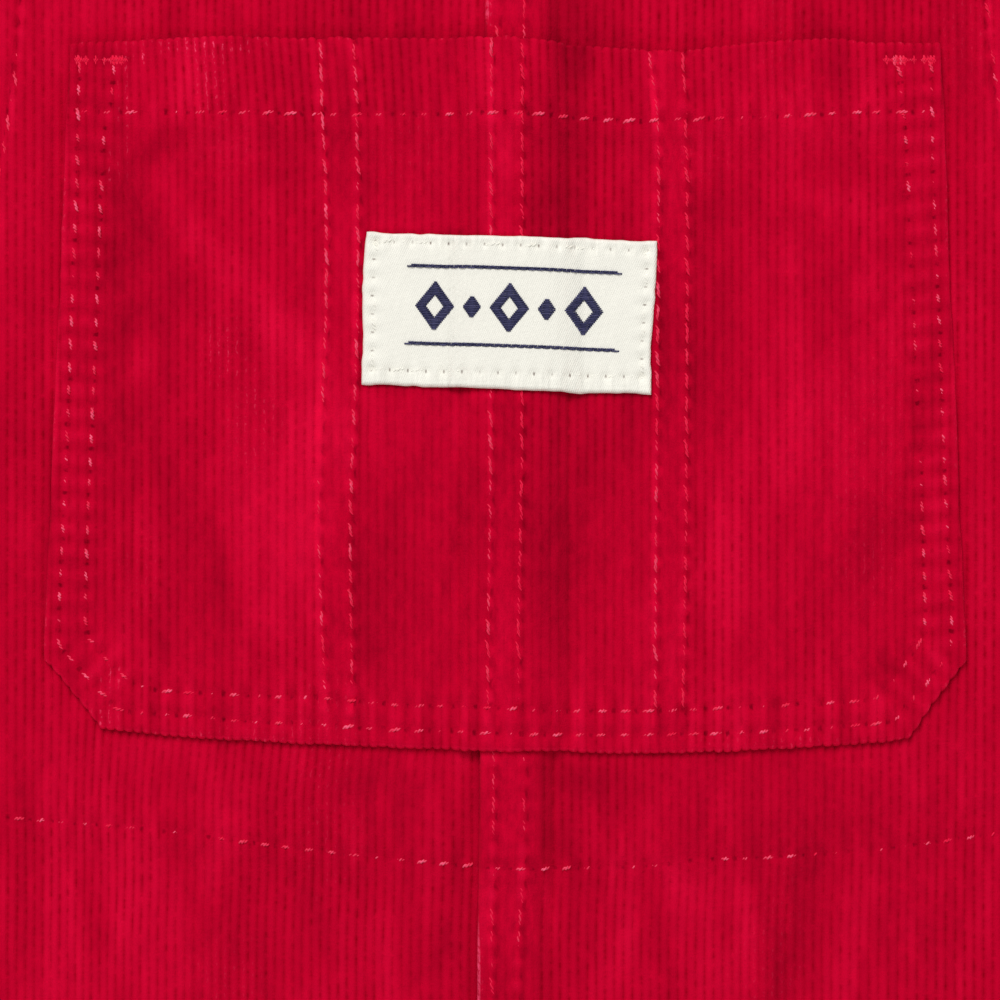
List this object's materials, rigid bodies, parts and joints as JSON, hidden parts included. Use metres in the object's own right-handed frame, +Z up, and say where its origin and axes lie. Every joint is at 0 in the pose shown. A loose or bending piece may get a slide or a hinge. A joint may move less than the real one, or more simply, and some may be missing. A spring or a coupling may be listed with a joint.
{
  "type": "pinafore dress",
  "caption": "Child's A-line pinafore dress in fine corduroy, laid flat, with a bib patch pocket, a centre lapped seam and buttoned shoulder straps.",
  "frame": {"origin": "middle of the garment's bounding box in X and Y, on the surface it lies on", "axes": "+Z up from the surface and out of the garment's front, +Y from the hem to the shoulders, +X towards the wearer's left"},
  "size_m": [0.43, 0.6, 0.011],
  "materials": {
    "corduroy": "cotton corduroy, sixteen wales to the inch, short brushed pile",
    "label": "woven twill with a soft sheen",
    "button": "satin moulded plastic"
  },
  "bodies": {
    "root": {"back": "corduroy", "front_left": "corduroy", "front_right": "corduroy", "pocket": "corduroy", "label": "label", "strap_left": "corduroy", "strap_right": "corduroy", "button_left": "button", "button_right": "button"}
  },
  "joints": []
}
